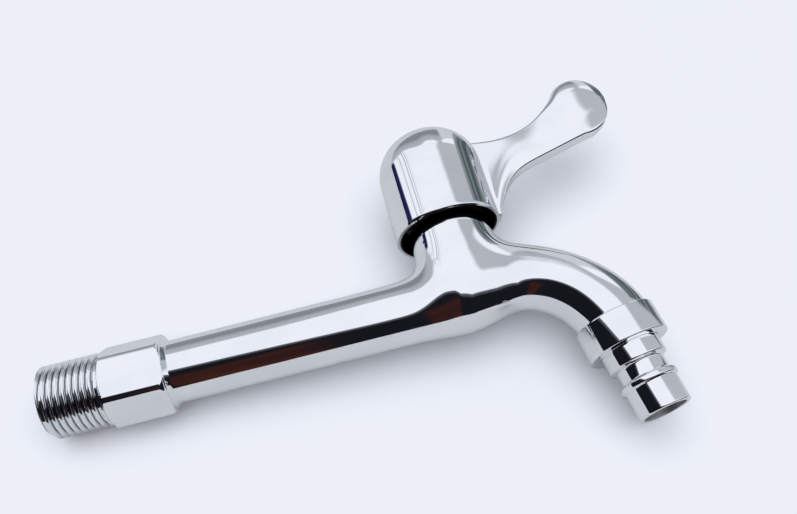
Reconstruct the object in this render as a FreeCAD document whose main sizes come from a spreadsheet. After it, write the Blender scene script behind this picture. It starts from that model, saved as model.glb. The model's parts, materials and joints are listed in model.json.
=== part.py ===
import FreeCAD, Part
import Sketcher
import math
import os

# Washing machine tap, in millimetres.
# The origin is the centre of the inlet's end face, +X runs along the tube and +Z up the valve tower.

# Driving dimensions: name, value, what it is. A value in words follows from the sizes above it.
DIMENSIONS = [
    ("thread_radius", 10.478, "G1/2 male thread, over the crests"),
    ("thread_length", 16.1, "threaded length of the inlet"),
    ("thread_fit", 0.04, "radial clearance of a threaded joint"),
    ("relief_radius", 9.3, "undercut behind the thread"),
    ("relief_width", 1.2, "length of the undercut"),
    ("hex_flats", 21.0, "across the flats of the wrench hexagon"),
    ("hex_length", 17.2, "length of the wrench hexagon"),
    ("hex_corner_radius", 11.8, "turned corners of the hexagon"),
    ("hex_chamfer", 0.9, "length of the chamfer at each end of a hexagon"),
    ("hex_turn", 10.0, "turn of the hexagon about the tube"),
    ("neck_length", 2.9, "taper from the hexagon to the tube"),
    ("neck_radius", 10.3, "taper where it leaves the hexagon"),
    ("tube_radius", 9.05, "tube beside the neck"),
    ("tube_end_radius", 9.35, "tube at the valve tower"),
    ("tower_x", 123.0, "inlet face to the tower axis"),
    ("tower_wall", 1.382, "wall of the valve tower outside its thread"),
    ("tower_radius", "thread_radius + thread_fit + tower_wall", "outside of the valve tower"),
    ("tower_top", 24.0, "tube axis to the rim of the tower"),
    ("belly_height", 2.8, "centre of the tower's round underside, above the tube axis"),
    ("spout_rise", 3.4, "spout axis above the tube axis at the tower"),
    ("spout_run", 8.5, "straight start of the spout"),
    ("spout_radius", 9.5, "spout at the tower"),
    ("spout_end_radius", 10.4, "spout at the outlet"),
    ("bend_radius", 30.6, "centre line of the spout's bend"),
    ("bend_angle", 70.0, "turn of the spout's bend"),
    ("outlet_tilt", 8.2, "lean of the outlet from straight down"),
    ("inlet_blend", 21.0, "centre line of the cast blend from the tube up to the tower"),
    ("spout_blend", 18.8, "centre line of the cast blend from the tower down to the spout"),
    ("spout_blend_top", 21.1, "height where that blend leaves the tower"),
    ("inlet_bore", 6.5, "radius of the inlet waterway"),
    ("spout_bore", 6.6, "radius of the spout's waterway"),
    ("seat_height", 4.2, "valve seat above the tube axis"),
    ("seat_bore", 5.4, "radius of the hole in the valve seat"),
    ("seat_wall", 1.4, "wall under the seat"),
    ("chamber_radius", 9.35, "bore of the valve chamber"),
    ("bonnet_thread_depth", 10.0, "internal thread of the tower"),
    ("shaft_fit", 0.05, "radial clearance of a turning shaft"),
    ("face_gap", 0.05, "gap between stacked faces"),
    ("washer_thickness", 0.8, "gasket between the tower and the bonnet"),
    ("cage_radius", 8.9, "lower sleeve of the bonnet"),
    ("cage_wall", 1.0, "wall of the sleeve round the discs"),
    ("seal_height", 2.0, "rubber seal under the discs"),
    ("seal_lip", 0.8, "how far the seal stands below the sleeve"),
    ("disc_thickness", 2.6, "each ceramic disc"),
    ("port_outer", 6.6, "outer radius of the discs' ports"),
    ("port_inner", 2.4, "inner radius of the discs' ports"),
    ("port_angle", 80.0, "width of each port, in degrees"),
    ("drive_width", 2.6, "rib under the spindle's foot"),
    ("drive_depth", 1.0, "depth of that rib"),
    ("drive_reach", 7.2, "half length of that rib"),
    ("foot_height", 3.0, "spindle foot that drives the upper disc"),
    ("friction_thickness", 0.5, "washer above the spindle foot"),
    ("bonnet_hex_flats", 22.0, "across the flats of the bonnet"),
    ("bonnet_hex_height", 6.0, "height of the bonnet's hexagon"),
    ("bonnet_neck_radius", 7.0, "upper neck of the bonnet"),
    ("bonnet_top", 40.0, "top of the bonnet's neck"),
    ("spindle_radius", 4.0, "spindle shaft"),
    ("spindle_top", 52.0, "top of the splined end"),
    ("spline_depth", 0.35, "depth of the spindle's splines"),
    ("clip_bore", 3.4, "inside of the circlip"),
    ("ring_section", 0.7, "section radius of the spindle's O-rings"),
    ("ring_low", 19.5, "height of the lower O-ring"),
    ("ring_high", 30.0, "height of the upper O-ring"),
    ("clip_thickness", 0.9, "circlip on the spindle"),
    ("clip_radius", 6.0, "outside of the circlip"),
    ("cap_radius", 16.2, "outside of the handle's cap"),
    ("cap_wall", 1.5, "wall of the cap"),
    ("cap_rim", 22.4, "height of the cap's rim"),
    ("dome_start", 43.5, "height where the cap's dome begins"),
    ("dome_rise", 14.9, "height of the dome itself"),
    ("boss_radius", 7.2, "boss under the dome"),
    ("boss_bottom", 41.6, "height of the boss's lower face"),
    ("lever_thickness", 11.0, "lever from side to side"),
    ("lever_flat", 5.0, "width of its flat underside"),
    ("lever_neck_slim", 1.9, "how much slimmer each side is at the neck"),
    ("lever_neck_spread", 13.0, "how far the slim neck reaches"),
    ("lever_root", 12.0, "where the lever starts, inside the cap's wall"),
    ("lever_root_top", 49.9, "top of the lever's root"),
    ("lever_root_low", 23.0, "underside of the lever's root"),
    ("lever_root_foot", 16.8, "foot of the arc under the lever"),
    ("lever_saddle_radius", 30.0, "hollow on top of the lever"),
    ("lever_throat_power", 4.5, "how sharply the hollow under the root turns"),
    ("lever_throat_x", 37.5, "outer end of that hollow"),
    ("lever_throat_z", 40.6, "height there"),
    ("lever_heel_x", 51.3, "outer end of the flat underside"),
    ("lever_heel_z", 44.4, "height there"),
    ("lever_edge", 1.3, "rounding of the lever's upper edges at its neck"),
    ("knob_edge", 5.5, "rounding of the same edges at the knob"),
    ("knob_x", 53.4, "tower axis to the centre of the lever's knob"),
    ("knob_z", 56.9, "height of the knob's centre"),
    ("knob_radius", 9.4, "radius of the knob"),
    ("screw_radius", 2.0, "grub screw in the boss"),
    ("screw_height", 46.5, "height of the grub screw"),
    ("screw_length", 3.0, "length of the grub screw"),
    ("collar_start", 0.8, "end of the spout to the collar nut"),
    ("collar_wall", 1.282, "wall of the collar nut outside its thread"),
    ("collar_radius", "thread_radius + thread_fit + collar_wall", "outside of the collar nut"),
    ("collar_height", 9.1, "height of the collar nut"),
    ("collar_floor", 1.6, "inward lip of the collar nut"),
    ("gasket_thickness", 1.4, "flat washer in the collar nut"),
    ("flange_fit", 0.378, "radial clearance of the nozzle's flange inside the collar"),
    ("nozzle_flange", "thread_radius - flange_fit", "flange of the nozzle inside the collar"),
    ("nozzle_flange_height", 1.4, "thickness of that flange"),
    ("nozzle_bore", 6.2, "radius of the nozzle's bore"),
    ("shoulder_radius", 8.5, "shoulder of the nozzle under the collar"),
    ("shoulder_height", 4.9, "visible height of the shoulder"),
    ("shoulder_taper", 0.7, "taper below the shoulder"),
    ("groove_radius", 6.95, "groove for the connector's latch"),
    ("groove_height", 3.9, "height of the latch groove"),
    ("latch_radius", 8.3, "thin ring below the groove"),
    ("latch_height", 2.3, "height of the thin ring"),
    ("edge_break", 0.4, "broken edges of the nozzle"),
    ("tip_radius", 7.55, "tip that goes into the connector"),
    ("tip_height", 7.7, "length of the tip"),
]

doc = FreeCAD.newDocument("washing_machine_tap")
sheet = doc.addObject("Spreadsheet::Sheet", "dims")
size = {}


def amount(text):
    """Value of a sum of products written with dimension names, such as 'tower_x + 2 * cap_wall'."""
    total, product, sign = 0.0, 1.0, 1.0
    for word in text.split():
        if word in "+-":
            total += sign * product
            product = 1.0
            sign = 1.0 if word == "+" else -1.0
        elif word != "*":
            product *= size[word] if word in size else float(word)
    return total + sign * product


def formula(text):
    """The same text as a formula that reads the sheet."""
    return " ".join("dims." + word if word in size else word for word in text.split())


for row, (alias, value, meaning) in enumerate(DIMENSIONS, 1):
    follows = isinstance(value, str)
    sheet.set("A%d" % row, alias)
    sheet.set("B%d" % row, "=" + value if follows else str(value))
    sheet.set("C%d" % row, meaning)
    sheet.setAlias("B%d" % row, alias)
    size[alias] = amount(value) if follows else value
doc.recompute()


def stacked(*items):
    """Sum of several sizes, as text."""
    return " + ".join(items)


# Places that several pieces share, as text: along the tube
NECK_X = "thread_length + relief_width + hex_length"
TUBE_X = NECK_X + " + neck_length"
TUBE_LESS = TUBE_X.replace("+", "-")
# the spout's bend, and distances below its end
BEND_X = "tower_x + spout_run"
BEND_Z = "spout_rise - bend_radius"
LIP_Z = "collar_start + collar_height - collar_floor"
FLANGE_Z = LIP_Z + " - face_gap - nozzle_flange_height"
GASKET_Z = FLANGE_Z + " - face_gap - gasket_thickness"
OUTLET_END = GASKET_Z + " - face_gap"
# heights of the headwork's stack in the tower
SEAL_Z = "seat_height + face_gap"
FIXED_Z = stacked(SEAL_Z, "seal_height", "face_gap")
MOVING_Z = stacked(FIXED_Z, "disc_thickness", "face_gap")
FOOT_Z = stacked(MOVING_Z, "disc_thickness", "face_gap")
FRICTION_Z = stacked(FOOT_Z, "foot_height", "face_gap")
SHOULDER_Z = stacked(FRICTION_Z, "friction_thickness", "face_gap")
CAGE_Z = "seat_height + seal_lip"
FLANGE_FACE = "tower_top + 2 * face_gap + washer_thickness"
CLIP_Z = "bonnet_top + face_gap"
# radii
CAGE_BORE = "cage_radius - cage_wall"
SHAFT_BORE = "spindle_radius + shaft_fit"
RING_CENTRE = "spindle_radius - ring_section"
# how many splines the spindle has
SPLINES = 20


def set_sizes(item, **sizes):
    """Bind an object's properties to the sheet."""
    for name, text in sizes.items():
        item.setExpression(name, formula(text))


def place(item, x="0", y="0", z="0", axis=(0, 0, 1), angle="0"):
    """Bind an object's placement to the sheet."""
    item.Placement = FreeCAD.Placement(
        FreeCAD.Vector(amount(x), amount(y), amount(z)),
        FreeCAD.Rotation(FreeCAD.Vector(*axis), amount(angle)),
    )
    item.setExpression("Placement.Base.x", formula(x))
    item.setExpression("Placement.Base.y", formula(y))
    item.setExpression("Placement.Base.z", formula(z))
    item.setExpression("Placement.Rotation.Angle", formula(angle))
    return item


def solid(kind, name, **sizes):
    """A Part primitive with its sizes bound to the sheet."""
    item = doc.addObject("Part::" + kind, name)
    set_sizes(item, **sizes)
    return item


def fuse(name, *items):
    """Several solids as one."""
    item = doc.addObject("Part::MultiFuse", name)
    item.Shapes = list(items)
    item.Refine = True
    return item


def cut(name, base, *tools):
    """A solid less one or more others."""
    item = doc.addObject("Part::Cut", name)
    item.Base = base
    item.Tool = tools[0] if len(tools) == 1 else fuse(name + "_tools", *tools)
    return item


def origin_plane(body, role):
    """One of a body's own origin features."""
    return next(feature for feature in body.Origin.OriginFeatures if feature.Role == role)


def outline(body, name, points):
    """A closed outline on the body's XZ plane, each corner bound to the sheet."""
    sketch = body.newObject("Sketcher::SketchObject", name)
    sketch.AttachmentSupport = [(origin_plane(body, "XZ_Plane"), "")]
    sketch.MapMode = "FlatFace"
    corners = [FreeCAD.Vector(amount(x), amount(z), 0) for x, z in points]
    for start, end in zip(corners, corners[1:] + corners[:1]):
        sketch.addGeometry(Part.LineSegment(start, end), False)
    for index in range(len(points)):
        following = (index + 1) % len(points)
        sketch.addConstraint(Sketcher.Constraint("Coincident", index, 2, following, 1))
    for index, (x, z) in enumerate(points):
        for kind, text in (("DistanceX", x), ("DistanceY", z)):
            number = sketch.addConstraint(Sketcher.Constraint(kind, -1, 1, index, 1, amount(text)))
            sketch.setExpression("Constraints[%d]" % number, formula(text))
    return sketch


def turned(name, points):
    """A piece turned about its own Z axis from an outline of radius and height."""
    body = doc.addObject("PartDesign::Body", name)
    body.Label = name
    sketch = outline(body, name + "_outline", points)
    feature = body.newObject("PartDesign::Revolution", name + "_turned")
    feature.Profile = sketch
    feature.ReferenceAxis = (origin_plane(body, "Z_Axis"), [""])
    feature.Angle = 360
    body.Tip = feature
    return body


def lying(item, x="0", z="0"):
    """Turn a solid made along Z so that it runs along +X."""
    return place(item, x=x, z=z, axis=(0, 1, 0), angle="90")


def bend(name, centre_x, centre_z, radius, from_angle, to_angle, from_size, to_size):
    """A round bar along an arc in the XZ plane; its angles run from +X up towards +Z."""
    spine = solid("Circle", name + "_spine", Radius=radius, Angle1=from_angle, Angle2=to_angle)
    place(spine, x=centre_x, z=centre_z, axis=(1, 0, 0), angle="90")
    sections = []
    for end, angle, section_size in (("from", from_angle, from_size), ("to", to_angle, to_size)):
        section = solid("Circle", name + "_" + end, Radius=section_size)
        turn = math.radians(amount(angle))
        x = amount(centre_x) + amount(radius) * math.cos(turn)
        z = amount(centre_z) + amount(radius) * math.sin(turn)
        section.Placement = FreeCAD.Placement(
            FreeCAD.Vector(x, 0, z), FreeCAD.Rotation(FreeCAD.Vector(0, 1, 0), -amount(angle)))
        arm = "(%s)" % formula(radius)
        section.setExpression("Placement.Base.x", "%s + %s * cos(%s)" % (formula(centre_x), arm, formula(angle)))
        section.setExpression("Placement.Base.z", "%s + %s * sin(%s)" % (formula(centre_z), arm, formula(angle)))
        section.setExpression("Placement.Rotation.Angle", "0 - (%s)" % formula(angle))
        sections.append(section)
    item = doc.addObject("Part::Sweep", name)
    item.Sections = sections
    item.Spine = (spine, ["Edge1"])
    item.Solid = True
    item.Frenet = False
    return item


def at_tower(item, z="0", angle="0"):
    """Stand an item on the tower's axis."""
    return place(item, x="tower_x", z=z, angle=angle)


def tube_of(name, outer, inner, height, z="0"):
    """A plain ring on the tower's axis."""
    rim = at_tower(solid("Cylinder", name + "_rim", Radius=outer, Height=height), z)
    hole = at_tower(solid("Cylinder", name + "_hole", Radius=inner, Height=height), z)
    return cut(name, rim, hole)


def tower_bar(name, radius, height, z="0"):
    """A round bar on the tower's axis."""
    return at_tower(solid("Cylinder", name, Radius=radius, Height=height), z)


def hexagon(name, flats, height, corner_radius, turn="0"):
    """A hexagon bar with turned corners and chamfered ends."""
    prism = solid("Prism", name + "_prism", Circumradius=flats + " * 0.57735", Height=height)
    prism.Polygon = 6
    place(prism, angle=turn)
    bar = doc.addObject("Part::Common", name)
    bar.Base = prism
    bar.Tool = turned(name + "_turning", [
        ("0", "0"),
        ("0.5 * " + flats, "0"),
        (corner_radius, "hex_chamfer"),
        (corner_radius, height + " - hex_chamfer"),
        ("0.5 * " + flats, height),
        ("0", height),
    ])
    return bar


def casting():
    """Outside of the tap: inlet, hexagon, tube, valve tower and bent spout in one casting."""
    thread = lying(solid("Cylinder", "inlet_thread", Radius="thread_radius", Height="thread_length"))
    relief = lying(solid("Cylinder", "inlet_relief", Radius="relief_radius", Height="relief_width"), "thread_length")
    wrench = lying(
        hexagon("inlet_hexagon", "hex_flats", "hex_length", "hex_corner_radius", "hex_turn"),
        "thread_length + relief_width")
    neck = lying(
        solid("Cone", "neck", Radius1="neck_radius", Radius2="tube_radius", Height="neck_length"), NECK_X)
    tube = lying(
        solid("Cone", "tube", Radius1="tube_radius", Radius2="tube_end_radius", Height="tower_x - " + TUBE_LESS),
        TUBE_X)
    tube_end = at_tower(solid("Sphere", "tube_end", Radius="tube_end_radius"))
    tower = tower_bar("tower", "tower_radius", "tower_top - belly_height", "belly_height")
    belly = at_tower(solid("Sphere", "belly", Radius="tower_radius"), "belly_height")
    inlet_blend = bend(
        "inlet_blend_bar", "tower_x - inlet_blend", "inlet_blend", "inlet_blend", "270", "360",
        "tube_end_radius", "tower_radius")
    spout_blend = bend(
        "spout_blend_bar", "tower_x + spout_blend", "spout_blend_top", "spout_blend", "180", "260",
        "tower_radius", "spout_radius")
    spout_start = lying(
        solid("Cylinder", "spout_start", Radius="spout_radius", Height="spout_run"), "tower_x", "spout_rise")
    spout = bend(
        "spout", BEND_X, BEND_Z, "bend_radius", "90 - bend_angle", "90", "spout_end_radius", "spout_radius")
    outlet = at_outlet(solid("Cylinder", "outlet_thread", Radius="thread_radius", Height=OUTLET_END))
    outlet_root = at_outlet(solid("Sphere", "outlet_root", Radius="thread_radius"))
    return fuse(
        "casting", thread, relief, wrench, neck, tube, tube_end, tower, belly, inlet_blend, spout_blend,
        spout_start, spout, outlet, outlet_root)


def at_outlet(item, drop="0"):
    """Stand an item on the end of the spout, or below it, with its Z axis pointing down out of the tap."""
    turn, tilt = math.radians(size["bend_angle"]), math.radians(size["outlet_tilt"])
    x = size["tower_x"] + size["spout_run"] + size["bend_radius"] * math.sin(turn) + amount(drop) * math.sin(tilt)
    z = size["spout_rise"] - size["bend_radius"] * (1 - math.cos(turn)) - amount(drop) * math.cos(tilt)
    item.Placement = FreeCAD.Placement(
        FreeCAD.Vector(x, 0, z), FreeCAD.Rotation(FreeCAD.Vector(0, 1, 0), 180 - size["outlet_tilt"]))
    ahead = " + dims.bend_radius * sin(dims.bend_angle) + (%s) * sin(dims.outlet_tilt)" % formula(drop)
    below = " + dims.bend_radius * cos(dims.bend_angle) - (%s) * cos(dims.outlet_tilt)" % formula(drop)
    item.setExpression("Placement.Base.x", formula(BEND_X) + ahead)
    item.setExpression("Placement.Base.z", formula(BEND_Z) + below)
    item.setExpression("Placement.Rotation.Angle", "180 - dims.outlet_tilt")
    return item


def waterway():
    """Everything that is hollow in the casting."""
    inlet = lying(solid("Cylinder", "inlet_way", Radius="inlet_bore", Height="tower_x"))
    under_seat = at_tower(solid("Sphere", "under_seat", Radius="inlet_bore"))
    below = place(
        solid("Box", "below_seat", Length="4 * inlet_bore", Width="4 * inlet_bore",
              Height="seat_height - seat_wall + 2 * inlet_bore"),
        x="tower_x - 2 * inlet_bore", y="0 - 2 * inlet_bore", z="0 - 2 * inlet_bore")
    capped_end = doc.addObject("Part::Common", "inlet_end")
    capped_end.Base = under_seat
    capped_end.Tool = below
    seat = tower_bar("seat_way", "seat_bore", "seat_height")
    chamber = tower_bar("chamber", "chamber_radius", "tower_top", "seat_height")
    tower_thread = tower_bar(
        "tower_thread", "thread_radius + thread_fit", "bonnet_thread_depth", "tower_top - bonnet_thread_depth")
    spout_start = lying(
        solid("Cylinder", "spout_way_start", Radius="spout_bore", Height="spout_run"), "tower_x", "spout_rise")
    spout = bend("spout_way", BEND_X, BEND_Z, "bend_radius", "90 - bend_angle", "90", "spout_bore", "spout_bore")
    partition = tower_bar("partition", "inlet_bore + seat_wall", "seat_height + 2 * tower_radius",
                          "0 - 2 * tower_radius")
    spout_way = cut("spout_way_open", fuse("spout_way_all", spout_start, spout), partition)
    outlet = at_outlet(solid("Cylinder", "outlet_way", Radius="spout_bore", Height=OUTLET_END))
    outlet_root = at_outlet(solid("Sphere", "outlet_way_root", Radius="spout_bore"))
    outlet_face = at_outlet(
        solid("Cylinder", "outlet_face", Radius="collar_radius", Height="2 * thread_radius"), OUTLET_END)
    return [inlet, capped_end, seat, chamber, tower_thread, spout_way, outlet, outlet_root, outlet_face]


def tap_body():
    return cut("tap_body", casting(), *waterway())


def bonnet():
    """Housing of the headwork: sleeve round the discs, thread, hexagon and neck."""
    sleeve = tower_bar("bonnet_sleeve", "cage_radius", "tower_top - " + CAGE_Z.replace("+", "-"), CAGE_Z)
    thread = tower_bar(
        "bonnet_thread", "thread_radius", "bonnet_thread_depth + washer_thickness + face_gap",
        "tower_top - bonnet_thread_depth + face_gap")
    wrench = hexagon("bonnet_hexagon", "bonnet_hex_flats", "bonnet_hex_height", "bonnet_hex_flats * 0.56")
    at_tower(wrench, FLANGE_FACE)
    neck = tower_bar("bonnet_neck", "bonnet_neck_radius", "bonnet_top - tower_top", "tower_top")
    cage = tower_bar("bonnet_cage", CAGE_BORE, SHOULDER_Z, "0")
    bore = tower_bar("bonnet_bore", SHAFT_BORE, "bonnet_top + spindle_top", "0")
    window = place(
        solid("Box", "bonnet_window", Length="3 * cage_radius", Width="cage_radius", Height="foot_height"),
        x="tower_x - 1.5 * cage_radius", y="0 - 0.5 * cage_radius", z=FOOT_Z)
    return cut("bonnet", fuse("bonnet_outside", sleeve, thread, wrench, neck), cage, bore, window)


def port_pair(name, height, z, turn):
    """Two opposite sector-shaped ways through a disc, for cutting."""
    items = []
    for side in (0, 180):
        label = "%s_%d" % (name, side)
        sector = solid("Cylinder", label, Radius="port_outer", Height=height, Angle="port_angle")
        at_tower(sector, z, "%d + %s - 0.5 * port_angle" % (side, turn))
        items.append(sector)
    core = tower_bar(name + "_core", "port_inner", height, z)
    return cut(name, fuse(name + "_sectors", *items), core)


def disc(name, z, turn, driven):
    """A ceramic disc with two ports; the driven one has a slot across its upper face."""
    plate = tower_bar(name + "_plate", CAGE_BORE + " - shaft_fit", "disc_thickness", z)
    tools = [port_pair(name + "_ports", "disc_thickness", z, turn)]
    if driven:
        tools.append(place(
            solid("Box", name + "_slot", Length="2 * cage_radius", Width="drive_width + 2 * shaft_fit",
                  Height="drive_depth + face_gap"),
            x="tower_x - cage_radius", y="0 - 0.5 * drive_width - shaft_fit",
            z=stacked(z, "disc_thickness") + " - drive_depth - face_gap"))
    return cut(name, plate, *tools)


def spindle():
    """Splined shaft with the foot that turns the upper disc."""
    foot = tower_bar("spindle_foot", CAGE_BORE + " - 2 * shaft_fit", "foot_height", FOOT_Z)
    ways = port_pair("spindle_ways", "foot_height - drive_depth", FOOT_Z, "0")
    drive = place(
        solid("Box", "spindle_drive", Length="2 * drive_reach", Width="drive_width", Height="drive_depth"),
        x="tower_x - drive_reach", y="0 - 0.5 * drive_width", z=FOOT_Z + " - drive_depth")
    shaft = tower_bar("spindle_shaft", "spindle_radius", "spindle_top - " + FOOT_Z.replace("+", "-"), FOOT_Z)
    grooves = [
        tube_of("spindle_groove_low", "2 * spindle_radius", RING_CENTRE + " - ring_section - shaft_fit",
                "2 * ring_section + 2 * shaft_fit", "ring_low - ring_section - shaft_fit"),
        tube_of("spindle_groove_high", "2 * spindle_radius", RING_CENTRE + " - ring_section - shaft_fit",
                "2 * ring_section + 2 * shaft_fit", "ring_high - ring_section - shaft_fit"),
        tube_of("spindle_clip_groove", "2 * spindle_radius", "clip_bore - shaft_fit",
                "clip_thickness + 2 * face_gap", "bonnet_top"),
    ]
    splines = []
    for index in range(SPLINES):
        notch = solid("Prism", "spline_%d" % index, Circumradius="2 * spline_depth", Height="spindle_top")
        notch.Polygon = 3
        turn = index * 360 / SPLINES
        notch.Placement = FreeCAD.Placement(
            FreeCAD.Vector(size["tower_x"], 0, size["boss_bottom"]),
            FreeCAD.Rotation(FreeCAD.Vector(0, 0, 1), 180 + turn))
        reach = "(dims.spindle_radius + dims.spline_depth)"
        notch.setExpression("Placement.Base.x", "dims.tower_x + %s * cos(%g)" % (reach, turn))
        notch.setExpression("Placement.Base.y", "%s * sin(%g)" % (reach, turn))
        notch.setExpression("Placement.Base.z", "dims.boss_bottom")
        splines.append(notch)
    return cut("spindle", fuse("spindle_solid", cut("spindle_driver", foot, ways), drive, shaft), *grooves, *splines)


def o_ring(name, z):
    item = solid("Torus", name, Radius1=RING_CENTRE, Radius2="ring_section")
    return at_tower(item, z)


def circlip():
    """Open spring ring on the spindle, above the bonnet."""
    ring = tube_of("circlip_ring", "clip_radius", "clip_bore", "clip_thickness", CLIP_Z)
    mouth = place(
        solid("Box", "circlip_mouth", Length="clip_radius + spindle_radius", Width="spindle_radius",
              Height="clip_thickness"),
        x="tower_x", y="0 - 0.5 * spindle_radius", z=CLIP_Z)
    return cut("circlip", ring, mouth)


def on_circle(centre_x, centre_z, radius, reach):
    """Height of the upper side of a circle at a distance from the tower."""
    return centre_z + math.sqrt(max(radius ** 2 - (reach - centre_x) ** 2, 0.0))


def lever_top(reach):
    """Height of the lever's back: a saddle that runs into the round knob."""
    knob = size["knob_radius"]
    join_x = size["knob_x"] - 0.8 * knob
    if reach > join_x:
        return on_circle(size["knob_x"], size["knob_z"], knob, reach)
    root = FreeCAD.Vector(size["lever_root"], size["lever_root_top"], 0)
    join = FreeCAD.Vector(join_x, size["knob_z"] + 0.6 * knob, 0)
    chord = join - root
    rise = math.sqrt(size["lever_saddle_radius"] ** 2 - (chord.Length / 2) ** 2)
    centre = (root + join) * 0.5 + FreeCAD.Vector(-chord.y, chord.x, 0).normalize() * rise
    return centre.y - math.sqrt(size["lever_saddle_radius"] ** 2 - (reach - centre.x) ** 2)


def lever_low(reach):
    """Height of the lever's underside: a hollow throat, a flat run and a round heel."""
    foot, throat_x, throat_z = size["lever_root_foot"], size["lever_throat_x"], size["lever_throat_z"]
    heel_x, heel_z = size["lever_heel_x"], size["lever_heel_z"]
    if reach <= foot:
        return size["lever_root_low"]
    if reach < throat_x:
        share = (throat_x - reach) / (throat_x - foot)
        straight = throat_z - (heel_z - throat_z) / (heel_x - throat_x) * (throat_x - reach)
        drop = straight - size["lever_root_low"]
        return straight - drop * share ** size["lever_throat_power"]
    if reach < heel_x:
        return throat_z + (heel_z - throat_z) * (reach - throat_x) / (heel_x - throat_x)
    share = (reach - heel_x) / (size["knob_x"] + size["knob_radius"] - heel_x)
    return size["knob_z"] - (size["knob_z"] - heel_z) * math.sqrt(max(1 - share ** 2, 0.0))


def lever_rounding(reach):
    """Rounding of the lever's upper edges, which grows from the neck to the knob."""
    start, end = size["lever_throat_x"] + size["lever_edge"], size["knob_x"] - size["lever_edge"]
    share = min(max((reach - start) / (end - start), 0.0), 1.0)
    return size["lever_edge"] + (size["knob_edge"] - size["lever_edge"]) * share * share * (3 - 2 * share)


def lever_section(reach):
    """Cross-section of the lever: flat underneath, straight sides and rounded upper edges."""
    top, low = lever_top(reach), lever_low(reach)
    tip = size["knob_x"] + size["knob_radius"]
    fade = math.sqrt(max(1 - (max(reach - size["knob_x"], 0.0) / (tip - size["knob_x"])) ** 2, 0.0))
    neck = math.exp(-((reach - size["lever_throat_x"]) / size["lever_neck_spread"]) ** 2)
    half = (size["lever_thickness"] / 2 - size["lever_neck_slim"] * neck) * fade
    flat = size["lever_flat"] / 2 * fade
    down = min(lever_rounding(reach), (top - low) * 0.45)
    inward = min(lever_rounding(reach), half * 0.85)

    def corner(across, turn):
        y = across * (half - inward + inward * math.cos(turn))
        return FreeCAD.Vector(size["tower_x"] + reach, y, top - down + down * math.sin(turn))

    def foot(across):
        return FreeCAD.Vector(size["tower_x"] + reach, across * flat, low)

    right, left = [[corner(across, math.radians(turn)) for turn in (0, 45, 90)] for across in (1, -1)]
    edges = [
        Part.LineSegment(foot(-1), foot(1)),
        Part.LineSegment(foot(1), right[0]),
        Part.Arc(*right),
        Part.LineSegment(right[2], left[2]),
        Part.Arc(*reversed(left)),
        Part.LineSegment(left[0], foot(-1)),
    ]
    return Part.Wire([edge.toShape() for edge in edges])


def lever():
    """The lever: a straight root in the cap's wall, lofted out to its round knob."""
    tip = size["knob_x"] + size["knob_radius"]
    root, foot = size["lever_root"], size["lever_root_foot"]
    throat, knob = size["lever_throat_x"], size["knob_x"]
    reaches = [foot + (throat - foot) * share for share in (0, 0.08, 0.2, 0.38, 0.65)]
    reaches += [throat + (knob - throat) * share / 4 for share in range(4)]
    reaches += [knob + (tip - knob) * share for share in (0, 0.35, 0.62, 0.82, 0.94, 0.99)]
    inner = Part.makeLoft([lever_section(root), lever_section(foot)], True, True)
    outer = Part.makeLoft([lever_section(reach) for reach in reaches], True, False)
    item = doc.addObject("Part::Feature", "lever")
    item.Shape = inner.fuse(outer)
    return item


def handle():
    """Hollow cap, lever and splined boss in one casting."""
    cap = tower_bar("cap_wall_outer", "cap_radius", "dome_start - cap_rim", "cap_rim")
    dome = dome_of("cap_dome", "cap_radius", "dome_rise")
    outside = fuse("handle_outside", cap, upper_half("cap_dome_upper", dome), lever())
    hollow = tower_bar("cap_hollow_low", "cap_radius - cap_wall", "dome_start - cap_rim", "cap_rim")
    vault = dome_of("cap_vault", "cap_radius - cap_wall", "dome_rise - cap_wall")
    shell = cut("handle_shell", outside, fuse("cap_hollow", hollow, upper_half("cap_vault_upper", vault)))
    boss = doc.addObject("Part::Common", "handle_boss")
    boss.Base = tower_bar("handle_boss_bar", "boss_radius", "dome_start + dome_rise - boss_bottom", "boss_bottom")
    boss.Tool = dome
    bore = tower_bar("handle_bore", SHAFT_BORE, "spindle_top - boss_bottom + face_gap", "boss_bottom")
    screw_hole = place(
        solid("Cylinder", "screw_hole", Radius="screw_radius + shaft_fit", Height="cap_radius"),
        x="tower_x", z="screw_height", axis=(1, 0, 0), angle="270")
    return cut("handle", fuse("handle_all", shell, boss), bore, screw_hole)


def dome_of(name, radius, rise):
    """A round body on the tower's axis, flattened to the height of the dome."""
    return at_tower(solid("Ellipsoid", name, Radius1=rise, Radius2=radius, Radius3=radius), "dome_start")


def upper_half(name, ball):
    """The part of a ball above the start of the dome."""
    block = place(
        solid("Box", name + "_block", Length="4 * cap_radius", Width="4 * cap_radius", Height="2 * cap_radius"),
        x="tower_x - 2 * cap_radius", y="0 - 2 * cap_radius", z="dome_start")
    item = doc.addObject("Part::Common", name)
    item.Base = ball
    item.Tool = block
    return item


def grub_screw():
    """Set screw with a hexagon socket, in the far side of the boss."""
    bar = solid("Cylinder", "screw_bar", Radius="screw_radius", Height="screw_length")
    socket = solid("Prism", "screw_socket", Circumradius="0.55 * screw_radius", Height="0.5 * screw_length")
    socket.Polygon = 6
    place(bar, x="tower_x", y=SHAFT_BORE, z="screw_height", axis=(1, 0, 0), angle="270")
    place(socket, x="tower_x", y=SHAFT_BORE + " + 0.5 * screw_length", z="screw_height", axis=(1, 0, 0),
          angle="270")
    return cut("handle_grub_screw", bar, socket)


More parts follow.
